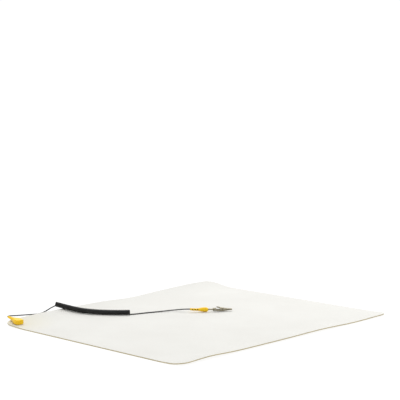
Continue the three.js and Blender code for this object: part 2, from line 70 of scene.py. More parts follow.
# Mat
MAT_LENGTH = 600 * MM
MAT_WIDTH = 500 * MM
MAT_THICKNESS = 2 * MM
MAT_CORNER_RADIUS = 25 * MM
MAT_EDGE_ROUND = 0.25 * MM
MAT_CELL = 5 * MM
MAT_CORNER_CELLS = 8
# Painted shade and painted yellow bounce light from the housing on the mat's face: full share up to the start
# distance from the snap's corner, none past the end distance
PAINTED_SHADE_BOUNCE_START = 30 * MM
PAINTED_SHADE_BOUNCE_END = 110 * MM
PAINTED_SHADE_BOUNCE_SHARE = 0.75
FAR_CURL_HEIGHT = 8.8 * MM
FAR_CURL_WIDTH = 70 * MM
NEAR_CURL_HEIGHT = 2.4 * MM
NEAR_CURL_WIDTH = 60 * MM
FAR_WAVES = MM * np.array([[-3.8, -300, 70], [-3.2, 45, 60], [2.6, 235, 75]])
NEAR_WAVES = MM * np.array([[2.4, -225, 45], [1, 75, 60], [-1.4, 190, 60]])
GAP = 0.3 * MM

# Snap
SNAP_FROM_SHORT_EDGE = 17.5 * MM
SNAP_FROM_LONG_EDGE = 28 * MM
LEAD_ANGLE = np.radians(85)
HOUSING_WIDTH = 18.4 * MM
HOUSING_HEIGHT = 9.4 * MM
HOUSING_NOSE = 9 * MM
HOUSING_SHOULDER = 1 * MM
TAIL_START = 22.5 * MM
TAIL_END = 36 * MM
TAIL_START_RADIUS = 3.3 * MM
TAIL_END_RADIUS = 2.2 * MM
TAIL_RISE = 0.2 * MM

# Cord: its route from the snap to the coil, the coil's own line, and its route from the coil to the clip
WIRE_RADIUS = 1.15 * MM
COIL_RADIUS = 5.25 * MM
COIL_TURNS = 69.806
COIL_START = np.radians(340)
CORD_STEP = 1.2 * MM
CORD_JOIN = 7 * MM
SNAP_WIRE = MM * np.array([
    [-279.4, 257.6, 12.35],
    [-278.6, 260.4, 12.4],
    [-275.2, 263.4, 12.2],
    [-270.3, 265.3, 11.9],
    [-263.1, 266.2, 11.1],
    [-253.7, 266.4, 9.9],
    [-242.3, 266.4, 8.9],
    [-231.3, 266.0, 7.9],
    [-221.8, 265.4, 7.1],
    [-212.2, 264.6, 6.3],
    [-200.1, 263.9, 5.6],
    [-187.2, 264.0, 6.6],
    [-176.2, 264.3, 9.4],
    [-164.8, 265.2, 12.9],
    [-159.6, 265.6, 14.4],
    [-156.4, 265.7, 15.4],
])
COIL_LINE = MM * np.array([
    [-154.2, 263.8, 19.5],
    [-143.0, 241.2, 14.8],
    [-129.1, 213.5, 10.0],
    [-111.2, 184.1, 7.8],
    [-92.2, 156.2, 7.6],
    [-67.2, 129.1, 7.6],
])
CLIP_WIRE = MM * np.array([
    [-66.8, 128.5, 3.5],
    [-62.0, 126.2, 3.35],
    [-55.8, 124.2, 3.3],
    [-46.0, 121.3, 3.3],
    [-35.0, 117.5, 3.3],
    [-25.0, 113.5, 3.35],
    [-15.0, 109.0, 3.5],
    [-4.5, 104.0, 3.7],
    [5.5, 98.4, 4.2],
    [14.0, 92.3, 4.9],
    [20.5, 85.5, 5.7],
    [25.5, 78.0, 6.8],
    [29.5, 70.5, 7.8],
    [32.6, 64.2, 8.3],
    [35.2, 60.0, 8.5],
])

# Plug boot, pin and clip, in the clip's own axes: X from the boot's tail to the clip's tip
CLIP_AXIS_POINT = MM * np.array([55.7, 40.5, 7.35])
CLIP_AXIS_END = MM * np.array([103.8, 4.1, 6.1])
BOOT_TAIL = -27.6 * MM
BOOT_NECK = -11.5 * MM
BOOT_FRONT = 9.7 * MM
BOOT_RADIUS = 4.7 * MM
BOOT_TAIL_RADIUS = 2.3 * MM
BOOT_RIBS = 3
BOOT_FIRST_SLOT = 4.8 * MM
BOOT_RIB_PITCH = 5.1 * MM
BOOT_RIB_SLOT = 2.3 * MM
BOOT_WEB = 1.1 * MM
BOOT_TAIL_SWAY = 3 * MM
BOOT_TAIL_LIFT = 0.5 * MM
PIN_RADIUS = 1.6 * MM
PIN_SEAT = 8 * MM
CLIP_START = 19.7 * MM
CLIP_END = 59.7 * MM
CLIP_WALL = 0.6 * MM
BARREL_LENGTH = 5.8 * MM
BARREL_RADIUS = 2.5 * MM
LOWER_DEPTH = 3 * MM
LOWER_HALF_WIDTH = 2.4 * MM
UPPER_HALF_WIDTH = 3.3 * MM
TIP_HALF_WIDTH = 1.3 * MM
PIVOT_X = 38 * MM
TAPER_START = PIVOT_X + 3 * MM
PIVOT_Z = 0.6 * MM
PIVOT_RADIUS = 0.9 * MM
PIVOT_HEAD_RADIUS = 1.6 * MM
PIVOT_HEAD_THICKNESS = 0.5 * MM
LEVER_X = 28.4 * MM
LEVER_TOP = 5.7 * MM
LEVER_ROLL_RADIUS = 0.9 * MM
LEVER_WIDTH = 4.4 * MM
LEVER_CROWN = 0.25 * MM
LEVER_SHEET = 0.5 * MM
TEETH_START = 46 * MM
TOOTH_PITCH = 1.6 * MM
TOOTH_DEPTH = 0.6 * MM
SPRING_RADIUS = 1.6 * MM
SPRING_WIRE_RADIUS = 0.28 * MM
SPRING_TURNS = 3
SPRING_PITCH = 0.9 * MM


# Arrays and meshes


def unit(vectors):
    """Each vector over its own length."""
    return vectors / np.linalg.norm(vectors, axis=-1, keepdims=True)


def bump(distance):
    """The bell curve exp(-d squared)."""
    return np.exp(-distance * distance)


def smooth(t):
    """Smoothstep 3 t^2 - 2 t^3 of t held between 0 and 1."""
    t = np.clip(t, 0, 1)
    return t * t * (3 - 2 * t)


def even_route(points, step):
    """A centripetal Catmull-Rom curve through the points, read at even steps of its length.

    Between p1 and p2 it is the pyramid of linear blends whose knots are apart by the square root of
    the distance between the points.
    """
    ends = np.vstack([2 * points[0] - points[1], points, 2 * points[-1] - points[-2]])
    knots = np.concatenate([[0], np.cumsum(np.sqrt(np.linalg.norm(np.diff(ends, axis=0), axis=1)))])
    p = [ends[i : len(ends) - 3 + i, None, :] for i in range(4)]
    k = [knots[i : len(knots) - 3 + i, None, None] for i in range(4)]
    t = k[1] + (k[2] - k[1]) * np.linspace(0, 1, 41)[None, :-1, None]

    def blend(a, b, ka, kb):
        return ((kb - t) * a + (t - ka) * b) / (kb - ka)

    a1, a2, a3 = (blend(p[i], p[i + 1], k[i], k[i + 1]) for i in range(3))
    b1, b2 = blend(a1, a2, k[0], k[2]), blend(a2, a3, k[1], k[3])
    dense = np.vstack([blend(b1, b2, k[1], k[2]).reshape(-1, 3), points[-1]])
    along = np.concatenate([[0], np.cumsum(np.linalg.norm(np.diff(dense, axis=0), axis=1))])
    count = max(2, int(round(along[-1] / step)) + 1)
    at = np.linspace(0, along[-1], count)
    return np.stack([np.interp(at, along, dense[:, i]) for i in range(3)], axis=1)


def route_length(path):
    """The sum of the steps between the points."""
    return float(np.linalg.norm(np.diff(path, axis=0), axis=1).sum())


def hermite(p0, d0, p1, d1, count):
    """The cubic from p0 to p1 that leaves along d0 and arrives along d1."""
    t = np.linspace(0, 1, count)[:, None]
    return (
        (2 * t**3 - 3 * t**2 + 1) * p0
        + (t**3 - 2 * t**2 + t) * d0
        + (3 * t**2 - 2 * t**3) * p1
        + (t**3 - t**2) * d1
    )


def grid_faces(rows, columns, round_columns=False, offset=0):
    """The quads of a grid of rows by columns, joined round at the last column if asked."""
    i = np.arange(rows - 1)[:, None]
    j = np.arange(columns if round_columns else columns - 1)[None, :]
    k = (j + 1) % columns
    low, high = i * columns, (i + 1) * columns
    quads = np.stack(np.broadcast_arrays(low + j, low + k, high + k, high + j), -1)
    return quads.reshape(-1, 4) + offset


def place(points, matrix):
    """Points of any grid taken through a 4 by 4 matrix, as a flat list."""
    flat = np.asarray(points, float).reshape(-1, 3)
    return flat @ matrix[:3, :3].T + matrix[:3, 3]


def mesh_from(name, points, quads, face_material=None):
    """A Blender mesh from arrays of points and four-cornered faces."""
    mesh = bpy.data.meshes.new(name)
    mesh.vertices.add(len(points))
    mesh.vertices.foreach_set("co", np.ascontiguousarray(points, np.float32).ravel())
    mesh.loops.add(quads.size)
    mesh.loops.foreach_set("vertex_index", np.ascontiguousarray(quads, np.int32).ravel())
    mesh.polygons.add(len(quads))
    mesh.polygons.foreach_set("loop_start", np.arange(0, quads.size, 4, dtype=np.int32))
    if face_material is not None:
        mesh.polygons.foreach_set("material_index", np.ascontiguousarray(face_material, np.int32))
    mesh.update(calc_edges=True)
    return mesh


def weld(mesh):
    """Joins doubled points, such as a pole's, and turns every face outwards."""
    work = bmesh.new()
    work.from_mesh(mesh)
    bmesh.ops.remove_doubles(work, verts=work.verts, dist=1e-6)
    bmesh.ops.dissolve_degenerate(work, edges=work.edges, dist=1e-7)
    bmesh.ops.recalc_face_normals(work, faces=work.faces)
    work.to_mesh(mesh)
    work.free()
    return mesh


def piece(name, mesh, materials, sharp_angle=35):
    """An object at the origin that shows the mesh with smooth shading up to the given angle."""
    for material in materials:
        mesh.materials.append(material)
    made = bpy.data.objects.new(name, mesh)
    bpy.context.scene.collection.objects.link(made)
    mesh.shade_smooth()
    mesh.set_sharp_from_angle(angle=np.radians(sharp_angle))
    return made


def settle(made, sharp_angle=35):
    """Applies the object's modifiers to its mesh."""
    shape = made.evaluated_get(bpy.context.evaluated_depsgraph_get())
    mesh = bpy.data.meshes.new_from_object(shape)
    made.modifiers.clear()
    old = made.data
    made.data = mesh
    bpy.data.meshes.remove(old)
    mesh.shade_smooth()
    mesh.set_sharp_from_angle(angle=np.radians(sharp_angle))
    return made


def cut(made, cutters, sharp_angle=35):
    """Takes the cutters' shapes out of the object and deletes the cutters."""
    for cutter in cutters:
        modifier = made.modifiers.new("cut", "BOOLEAN")
        modifier.operation = "DIFFERENCE"
        modifier.solver = "EXACT"
        modifier.object = cutter
    settle(made, sharp_angle)
    for cutter in cutters:
        bpy.data.objects.remove(cutter)
    return made


def thicken(made, thickness, edge_round, sharp_angle=35):
    """Gives an open surface the thickness of its sheet, inwards, and rounds the sheet's rim."""
    solid = made.modifiers.new("sheet", "SOLIDIFY")
    solid.thickness = thickness
    solid.offset = -1
    solid.use_even_offset = True
    rim = made.modifiers.new("rim", "BEVEL")
    rim.width = edge_round
    rim.segments = 2
    rim.limit_method = "ANGLE"
    rim.angle_limit = np.radians(50)
    return settle(made, sharp_angle)


def turned_mesh(name, profile, matrix, sides=48):
    """A profile of radius and height, in rows, turned about the local Z axis."""
    profile = np.asarray(profile, float)
    angle = 2 * np.pi * np.arange(sides) / sides
    radius, height = profile[:, :1], profile[:, 1:]
    points = np.stack(np.broadcast_arrays(radius * np.cos(angle), radius * np.sin(angle), height), -1)
    return weld(mesh_from(name, place(points, matrix), grid_faces(len(profile), sides, True)))


def tube_mesh(name, path, guide, radius, sides):
    """Rings round a path: the radius times cos and sin of the angle on two directions square to the path.

    The first direction is the guide's part square to the path. The ends are closed by a shrinking ring.
    """
    along = unit(np.gradient(path, axis=0))
    first = unit(guide - (guide * along).sum(1, keepdims=True) * along)
    second = np.cross(along, first)
    angle = 2 * np.pi * np.arange(sides) / sides
    reach = np.full(len(path), radius)
    path, first, second, reach = (np.concatenate([v[:1], v, v[-1:]]) for v in (path, first, second, reach))
    reach[[0, -1]] = 0
    rings = path[:, None, :] + reach[:, None, None] * (
        np.cos(angle)[None, :, None] * first[:, None, :] + np.sin(angle)[None, :, None] * second[:, None, :]
    )
    return weld(mesh_from(name, rings.reshape(-1, 3), grid_faces(len(path), sides, True)))


def basis(along, across, up, origin):
    """The matrix whose local axes are the three directions and whose origin is the point."""
    matrix = np.eye(4)
    matrix[:3, 0], matrix[:3, 1], matrix[:3, 2], matrix[:3, 3] = along, across, up, origin
    return matrix


# Finishes


def new_finish(name, roughness, metallic=0.0, specular=0.5):
    """A material with its shader's plain values set, and its Object coordinates."""
    material = bpy.data.materials.new(name)
    material.use_nodes = True
    tree = material.node_tree
    shader = tree.nodes["Principled BSDF"]
    shader.inputs["Roughness"].default_value = roughness
    shader.inputs["Metallic"].default_value = metallic
    shader.inputs["Specular IOR Level"].default_value = specular
    coordinates = tree.nodes.new("ShaderNodeTexCoord")
    return material, tree, shader, coordinates.outputs["Object"]


def noise(tree, vector, scale, detail=3.0, stretch=None):
    """Noise on the given coordinates; stretch scales each axis first."""
    if stretch is not None:
        mapping = tree.nodes.new("ShaderNodeMapping")
        mapping.inputs["Scale"].default_value = stretch
        tree.links.new(vector, mapping.inputs["Vector"])
        vector = mapping.outputs["Vector"]
    made = tree.nodes.new("ShaderNodeTexNoise")
    made.inputs["Scale"].default_value = scale
    made.inputs["Detail"].default_value = detail
    tree.links.new(vector, made.inputs["Vector"])
    return made.outputs["Fac"]


def ramp(tree, value, low, high, start=0.35, end=0.65):
    """A colour that goes from low to high as the value goes from start to end."""
    made = tree.nodes.new("ShaderNodeValToRGB")
    made.color_ramp.elements[0].position = start
    made.color_ramp.elements[1].position = end
    made.color_ramp.elements[0].color = (*low, 1)
    made.color_ramp.elements[1].color = (*high, 1)
    tree.links.new(value, made.inputs["Fac"])
    return made.outputs["Color"]


def spread(tree, value, low, high):
    """A number that goes from low to high as the value goes from 0.3 to 0.7."""
    made = tree.nodes.new("ShaderNodeMapRange")
    made.inputs["From Min"].default_value = 0.3
    made.inputs["From Max"].default_value = 0.7
    made.inputs["To Min"].default_value = low
    made.inputs["To Max"].default_value = high
    tree.links.new(value, made.inputs["Value"])
    return made.outputs["Result"]


def relief(tree, shader, height, distance, strength=1.0):
    """Bumps the surface by the height value."""
    made = tree.nodes.new("ShaderNodeBump")
    made.inputs["Distance"].default_value = distance
    made.inputs["Strength"].default_value = strength
    tree.links.new(height, made.inputs["Height"])
    tree.links.new(made.outputs["Normal"], shader.inputs["Normal"])


def mat_face_finish():
    """The upper face: fine leather-like grain, faint cloudiness, and painted shade with painted yellow bounce
    light from the housing, strongest near the snap's corner.
    """
    material, tree, shader, at = new_finish("mat_face", 0.7, specular=0.35)
    cloud = noise(tree, at, 9, 4)
    face_colour = ramp(tree, cloud, (0.705, 0.697, 0.662), (0.73, 0.724, 0.69))
    # Painted shade and painted yellow bounce light from the housing: the face colour is mixed towards a
    # darker yellowish tan near the snap's corner
    reach = tree.nodes.new("ShaderNodeVectorMath")
    reach.operation = "DISTANCE"
    reach.inputs[1].default_value = (-MAT_LENGTH / 2, MAT_WIDTH / 2, 0)
    tree.links.new(at, reach.inputs[0])
    painted_shade_bounce_share = tree.nodes.new("ShaderNodeMapRange")
    painted_shade_bounce_share.inputs["From Min"].default_value = PAINTED_SHADE_BOUNCE_START
    painted_shade_bounce_share.inputs["From Max"].default_value = PAINTED_SHADE_BOUNCE_END
    painted_shade_bounce_share.inputs["To Min"].default_value = PAINTED_SHADE_BOUNCE_SHARE
    painted_shade_bounce_share.inputs["To Max"].default_value = 0
    tree.links.new(reach.outputs["Value"], painted_shade_bounce_share.inputs["Value"])
    with_painted_shade_bounce = tree.nodes.new("ShaderNodeMix")
    with_painted_shade_bounce.data_type = "RGBA"
    tree.links.new(painted_shade_bounce_share.outputs["Result"], with_painted_shade_bounce.inputs["Factor"])
    tree.links.new(face_colour, with_painted_shade_bounce.inputs[6])
    # The colour of the painted shade and yellow bounce light near the snap's corner
    with_painted_shade_bounce.inputs[7].default_value = (0.68, 0.65, 0.52, 1)
    tree.links.new(with_painted_shade_bounce.outputs[2], shader.inputs["Base Color"])
    grain = noise(tree, at, 1100, 2)
    tree.links.new(spread(tree, grain, 0.62, 0.78), shader.inputs["Roughness"])
    relief(tree, shader, grain, 0.12 * MM)
    return material


def mat_edge_finish():
    """The cut edge, where the tan core of the sheet shows."""
    material, tree, shader, at = new_finish("mat_cut_edge", 0.8, specular=0.3)
    streak = noise(tree, at, 300, 4, stretch=(1, 1, 5))
    tree.links.new(ramp(tree, streak, (0.50, 0.435, 0.27), (0.58, 0.51, 0.34)), shader.inputs["Base Color"])
    relief(tree, shader, streak, 0.08 * MM)
    return material


def mat_under_finish():
    """The underside: the tan layer with a coarser anti-slip grain."""
    material, tree, shader, at = new_finish("mat_underside", 0.85, specular=0.3)
    grain = noise(tree, at, 450, 3)
    tree.links.new(ramp(tree, grain, (0.50, 0.455, 0.335), (0.60, 0.55, 0.43)), shader.inputs["Base Color"])
    relief(tree, shader, grain, 0.25 * MM)
    return material


def moulding_finish():
    """Yellow moulded plastic: satin, with a faint spark-eroded grain."""
    material, tree, shader, at = new_finish("yellow_moulding", 0.45, specular=0.35)
    shade = noise(tree, at, 160, 3)
    tree.links.new(ramp(tree, shade, (0.98, 0.59, 0.006), (1.0, 0.65, 0.01)), shader.inputs["Base Color"])
    grain = noise(tree, at, 2600, 2)
    tree.links.new(spread(tree, grain, 0.36, 0.5), shader.inputs["Roughness"])
    relief(tree, shader, grain, 0.03 * MM)
    return material


def cord_finish():
    """Black cord jacket: satin, with faint drawing marks."""
    material, tree, shader, at = new_finish("black_cord", 0.42, specular=0.4)
    shade = noise(tree, at, 220, 3)
    colour = ramp(tree, shade, (0.008, 0.008, 0.0078), (0.018, 0.018, 0.017))
    tree.links.new(colour, shader.inputs["Base Color"])
    tree.links.new(spread(tree, shade, 0.36, 0.52), shader.inputs["Roughness"])
    relief(tree, shader, noise(tree, at, 1800, 2), 0.02 * MM)
    return material


def metal_finish(name, low, high, roughness, patches):
    """Plated steel whose colour and gloss vary in patches of the given size in metres."""
    material, tree, shader, at = new_finish(name, roughness, metallic=1.0)
    shade = noise(tree, at, 1 / patches, 5)
    tree.links.new(ramp(tree, shade, low, high), shader.inputs["Base Color"])
    tree.links.new(spread(tree, shade, roughness + 0.08, roughness - 0.08), shader.inputs["Roughness"])
    relief(tree, shader, noise(tree, at, 2400, 3), 0.015 * MM)
    return material


face_finish = mat_face_finish()
edge_finish = mat_edge_finish()
under_finish = mat_under_finish()
yellow = moulding_finish()
black = cord_finish()
snap_metal = metal_finish("snap_metal", (0.50, 0.49, 0.45), (0.66, 0.65, 0.62), 0.28, 4 * MM)
clip_metal = metal_finish("clip_metal", (0.24, 0.215, 0.155), (0.46, 0.42, 0.32), 0.4, 3 * MM)


# Camera, light and floor


def make_camera():
    """Turns the camera by its yaw, pitch and roll; its focal length is in the photograph's pixels."""
    data = bpy.data.cameras.new("camera")
    data.sensor_width = 36
    data.lens = FOCAL_PIXELS / PHOTO_PIXELS * data.sensor_width
    data.clip_start, data.clip_end = 0.05, 100
    level = np.array([np.cos(CAMERA_YAW), -np.sin(CAMERA_YAW), 0])
    forward = np.array([
        np.sin(CAMERA_YAW) * np.cos(CAMERA_PITCH),
        np.cos(CAMERA_YAW) * np.cos(CAMERA_PITCH),
        -np.sin(CAMERA_PITCH),
    ])
    upright = np.cross(level, forward)
    right = level * np.cos(CAMERA_ROLL) + upright * np.sin(CAMERA_ROLL)
    top = upright * np.cos(CAMERA_ROLL) - level * np.sin(CAMERA_ROLL)
    camera = bpy.data.objects.new("camera", data)
    bpy.context.scene.collection.objects.link(camera)
    camera.matrix_world = Matrix(basis(right, top, -forward, CAMERA_PLACE).tolist())
    bpy.context.scene.camera = camera


def hang_lamp(lamp, place, back):
    """Puts a lamp at the place, shining away from the direction back."""
    made = bpy.data.objects.new(lamp.name, lamp)
    bpy.context.scene.collection.objects.link(made)
    back = unit(back)
    side = unit(np.cross([0, 0, 1], back))
    made.matrix_world = Matrix(basis(side, np.cross(back, side), back, place).tolist())


def make_light():
    """A room that brightens upwards, a broad skylight from behind the mat and a small lamp at its side.

    The camera itself sees plain white behind the mat.
    """
    scene = bpy.context.scene
    scene.view_settings.view_transform = "Standard"
    world = bpy.data.worlds.new("studio")
    world.use_nodes = True
    tree = world.node_tree
    room = tree.nodes["Background"]
    room.inputs["Color"].default_value = (1, 1, 1, 1)
    incoming = tree.nodes.new("ShaderNodeNewGeometry").outputs["Incoming"]
    toward = tree.nodes.new("ShaderNodeVectorMath")
    toward.operation = "DOT_PRODUCT"
    toward.inputs[1].default_value = (0, 0, -ROOM_RISE)
    tree.links.new(incoming, toward.inputs[0])
    level = tree.nodes.new("ShaderNodeMath")
    level.operation = "ADD"
    level.inputs[1].default_value = ROOM_LEVEL
    tree.links.new(toward.outputs["Value"], level.inputs[0])
    tree.links.new(level.outputs["Value"], room.inputs["Strength"])
    backdrop = tree.nodes.new("ShaderNodeBackground")
    backdrop.inputs["Color"].default_value = (1, 1, 1, 1)
    backdrop.inputs["Strength"].default_value = BACKDROP
    path = tree.nodes.new("ShaderNodeLightPath")
    mix = tree.nodes.new("ShaderNodeMixShader")
    tree.links.new(path.outputs["Is Camera Ray"], mix.inputs["Fac"])
    tree.links.new(room.outputs["Background"], mix.inputs[1])
    tree.links.new(backdrop.outputs["Background"], mix.inputs[2])
    tree.links.new(mix.outputs["Shader"], tree.nodes["World Output"].inputs["Surface"])
    scene.world = world
    sky = bpy.data.lights.new("skylight", "SUN")
    sky.energy = SKYLIGHT
    sky.angle = SKYLIGHT_WIDTH
    hang_lamp(sky, np.array([0, 0, 2]), SKYLIGHT_SIDE)
    lamp = bpy.data.lights.new("side_lamp", "AREA")
    lamp.size = SIDE_LAMP_SIZE
    lamp.energy = SIDE_LAMP
    hang_lamp(lamp, SIDE_LAMP_PLACE, SIDE_LAMP_PLACE - SIDE_LAMP_TARGET)


def make_floor():
    """A plain floor that glows just enough to show white."""
    material, tree, shader, at = new_finish("pale_floor", 0.9, specular=0.1)
    shade = ramp(tree, noise(tree, at, 3, 2), (0.17, 0.17, 0.17), (0.19, 0.19, 0.19))
    tree.links.new(shade, shader.inputs["Base Color"])
    shader.inputs["Emission Color"].default_value = (1, 1, 1, 1)
    shader.inputs["Emission Strength"].default_value = FLOOR_GLOW
    size = FLOOR_REACH
    corners = np.array([[-size, -size, -GAP], [size, -size, -GAP], [size, size, -GAP], [-size, size, -GAP]])
    piece("floor", mesh_from("floor", corners, np.array([[0, 1, 2, 3]])), [material])


# Cord


def coil_helix():
    """The coil's turns: the coil's line plus a radius times cos and sin of a steadily growing angle.

    The radius is what is left of the coil's outer radius after the wire's own, and the line is held back
    from the coil's two ends by the wire's radius. Gives the helix and the line's direction beside it.
    """
    line = even_route(COIL_LINE, 0.4 * MM)
    along = np.linspace(0, 1, len(line))
    inset = WIRE_RADIUS / route_length(line)
    at = np.linspace(inset, 1 - inset, int(COIL_TURNS * 24) + 1)
    centre = np.stack([np.interp(at, along, line[:, i]) for i in range(3)], axis=1)
    axis = unit(np.gradient(centre, axis=0))
    side = unit(np.cross([0, 0, 1], axis))
    upward = np.cross(axis, side)
    angle = COIL_START + 2 * np.pi * COIL_TURNS * np.linspace(0, 1, len(at))
    radius = COIL_RADIUS - WIRE_RADIUS
    helix = centre + radius * (np.cos(angle)[:, None] * side + np.sin(angle)[:, None] * upward)
    return helix, axis


def clip_matrix():
    """The clip's frame: X from the boot's tail to the clip's tip, Y level."""
    along = unit(CLIP_AXIS_END - CLIP_AXIS_POINT)
    side = unit(np.cross([0, 0, 1], along))
    return basis(along, side, np.cross(along, side), CLIP_AXIS_POINT)


CLIP_FRAME = clip_matrix()


def bend_tail(points):
    """The boot's tail swings aside and lifts as the square of the distance past its neck."""
    share = np.clip((BOOT_NECK - points[:, 0]) / (BOOT_NECK - BOOT_TAIL), 0, None) ** 2
    return points + share[:, None] * np.array([0, BOOT_TAIL_SWAY, BOOT_TAIL_LIFT])


def join(first, second):
    """The curve that leaves one route's end and meets the next one's start, without their own points."""
    leave = CORD_JOIN * unit(first[-1] - first[-2])
    arrive = CORD_JOIN * unit(second[1] - second[0])
    return hermite(first[-1], leave, second[0], arrive, 14)[1:-1]


def cord_route():
    """The whole cord's line from inside the housing's tail to the pin, and a guide direction beside it."""
    snap_side = even_route(SNAP_WIRE[:-2], CORD_STEP)
    clip_side = even_route(CLIP_WIRE[1:], CORD_STEP)
    helix, axis = coil_helix()
    start = snap_side[0] - 2.5 * MM * unit(snap_side[1] - snap_side[0])
    onto = join(snap_side, helix)
    off = join(helix, clip_side)
    inside = np.linspace(BOOT_TAIL, BOOT_FRONT - PIN_SEAT, 26)
    in_boot = place(bend_tail(np.stack([inside, 0 * inside, 0 * inside], 1)), CLIP_FRAME)
    parts = [start[None], snap_side, onto, helix, off, clip_side, in_boot]
    up = np.array([0, 0, 1.0])
    guides = [np.tile(up, (len(p), 1)) for p in parts]
    guides[3] = axis
    for i, end in ((2, axis[0]), (4, axis[-1])):
        share = np.linspace(0, 1, len(parts[i]))[:, None]
        share = share if i == 2 else 1 - share
        guides[i] = (1 - share) * up + share * end
    return np.vstack(parts), np.vstack(guides)


def make_cord():
    """The lead as one tube from the housing to the pin; gives the piece and its route."""
    path, guide = cord_route()
    cord = piece("ground_cord", tube_mesh("ground_cord", path, guide, WIRE_RADIUS, 12), [black], 60)
    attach(cord, "root")
    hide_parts("snap_wire", "coil_cord", "clip_wire")
    return cord, path


# Mat


def edge_lift(height, waves, x):
    """An edge's height plus each wave's rise times the bell curve of the distance over its width."""
    return height + sum(rise * bump((x - middle) / width) for rise, middle, width in waves)


def underside_height(x, y):
    """Each long edge rises by its lift times the square of the distance into its curl."""
    far_lift = edge_lift(FAR_CURL_HEIGHT, FAR_WAVES, x)
    near_lift = edge_lift(NEAR_CURL_HEIGHT, NEAR_WAVES, x)
    far = np.clip((y - (MAT_WIDTH / 2 - FAR_CURL_WIDTH)) / FAR_CURL_WIDTH, 0, None)
    near = np.clip((-y - (MAT_WIDTH / 2 - NEAR_CURL_WIDTH)) / NEAR_CURL_WIDTH, 0, None)
    return far_lift * far**2 + near_lift * near**2


def snap_matrix():
    """The snap's frame: on the mat's underside, Z square to the mat there, X along the housing's tail."""
    x = SNAP_FROM_SHORT_EDGE - MAT_LENGTH / 2
    y = MAT_WIDTH / 2 - SNAP_FROM_LONG_EDGE
    step = 0.5 * MM
    slope_x = (underside_height(x + step, y) - underside_height(x - step, y)) / (2 * step)
    slope_y = (underside_height(x, y + step) - underside_height(x, y - step)) / (2 * step)
    up = unit(np.array([-slope_x, -slope_y, 1]))
    along = np.array([np.cos(LEAD_ANGLE), np.sin(LEAD_ANGLE), 0])
    along = unit(along - (along @ up) * up)
    return basis(along, np.cross(up, along), up, (x, y, underside_height(x, y)))


SNAP_FRAME = snap_matrix()
STUD_BOTTOM = MAT_THICKNESS + GAP
STUD_FLANGE_RADIUS = 5 * MM
STUD_NECK_RADIUS = 3 * MM
STUD_FLANGE_TOP = STUD_BOTTOM + 0.5 * MM
STUD_TOP = STUD_BOTTOM + 2.9 * MM
RIVET_RADIUS = 6 * MM
RIVET_INSET = 0.1 * MM
RIVET_THICKNESS = 0.4 * MM
STUD_BORE_RADIUS = 2 * MM
STUD_HEAD_RADIUS = 3.4 * MM
SOCKET_BORE = STUD_HEAD_RADIUS + GAP
SOCKET_RADIUS = SOCKET_BORE + 2.2 * MM
SOCKET_TOP = STUD_TOP + GAP + 0.7 * MM


def mat_lines(size):
    """Grid lines across one side of the mat: fine cells in both corners, even cells between."""
    inner = size / 2 - MAT_CORNER_RADIUS
    middle = int(round(2 * inner / MAT_CELL))
    return np.concatenate([
        np.linspace(-size / 2, -inner, MAT_CORNER_CELLS, endpoint=False),
        np.linspace(-inner, inner, middle, endpoint=False),
        np.linspace(inner, size / 2, MAT_CORNER_CELLS + 1),
    ])


def mat_plan():
    """The mat's outline filled by a grid; a square corner's point p goes to p max(p) over its length."""
    y, x = np.meshgrid(mat_lines(MAT_WIDTH), mat_lines(MAT_LENGTH), indexing="ij")
    corner_x, corner_y = MAT_LENGTH / 2 - MAT_CORNER_RADIUS, MAT_WIDTH / 2 - MAT_CORNER_RADIUS
    dx, dy = np.abs(x) - corner_x, np.abs(y) - corner_y
    in_corner = (dx > 0) & (dy > 0)
    shrink = np.where(in_corner, np.maximum(dx, dy) / np.maximum(np.hypot(dx, dy), 1e-9), 1)
    x = np.where(in_corner, np.sign(x) * (corner_x + dx * shrink), x)
    y = np.where(in_corner, np.sign(y) * (corner_y + dy * shrink), y)
    return x, y


def make_mat():
    """Two grids, the underside and the face, joined at the rim by a band with rounded edges."""
    x, y = mat_plan()
    rows, columns = x.shape
    count = rows * columns
    inset_x, inset_y = 1 - 2 * MAT_EDGE_ROUND / MAT_LENGTH, 1 - 2 * MAT_EDGE_ROUND / MAT_WIDTH
    height = underside_height(x, y)
    under = np.stack([x * inset_x, y * inset_y, height], -1).reshape(-1, 3)
    face = under + [0, 0, MAT_THICKNESS]
    index = np.arange(count).reshape(rows, columns)
    rim = np.concatenate([index[0, :-1], index[:-1, -1], index[-1, :0:-1], index[:0:-1, 0]])
    outline = np.stack([x, y, height], -1).reshape(-1, 3)[rim]
    low = outline + [0, 0, MAT_EDGE_ROUND]
    high = outline + [0, 0, MAT_THICKNESS - MAT_EDGE_ROUND]
    points = np.vstack([under, face, low, high])
    around = len(rim)
    loops = [rim, 2 * count + np.arange(around), 2 * count + around + np.arange(around), rim + count]
    bands = [
        np.stack([a, np.roll(a, -1), np.roll(b, -1), b], 1) for a, b in zip(loops, loops[1:])
    ]
    quads = [grid_faces(rows, columns)[:, ::-1], grid_faces(rows, columns, offset=count), *bands]
    finish = np.repeat([2, 0, 1, 1, 1], [len(q) for q in quads])
    mesh = mesh_from("bench_mat", points, np.vstack(quads), finish)
    mat = piece("bench_mat", mesh, [face_finish, edge_finish, under_finish], 60)
    hole = RIVET_RADIUS + GAP
    depth = RIVET_INSET + RIVET_THICKNESS + GAP
    bore = STUD_BORE_RADIUS + 0.1 * MM
    above = 2 * MAT_THICKNESS
    profile = [[0, -MM], [hole, -MM], [hole, depth], [bore, depth], [bore, above], [0, above]]
    cutter = piece("hole", turned_mesh("hole", profile, SNAP_FRAME), [under_finish])
    cut(mat, [cutter], 60)
    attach(mat, "root")
    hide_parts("mat")


# Snap


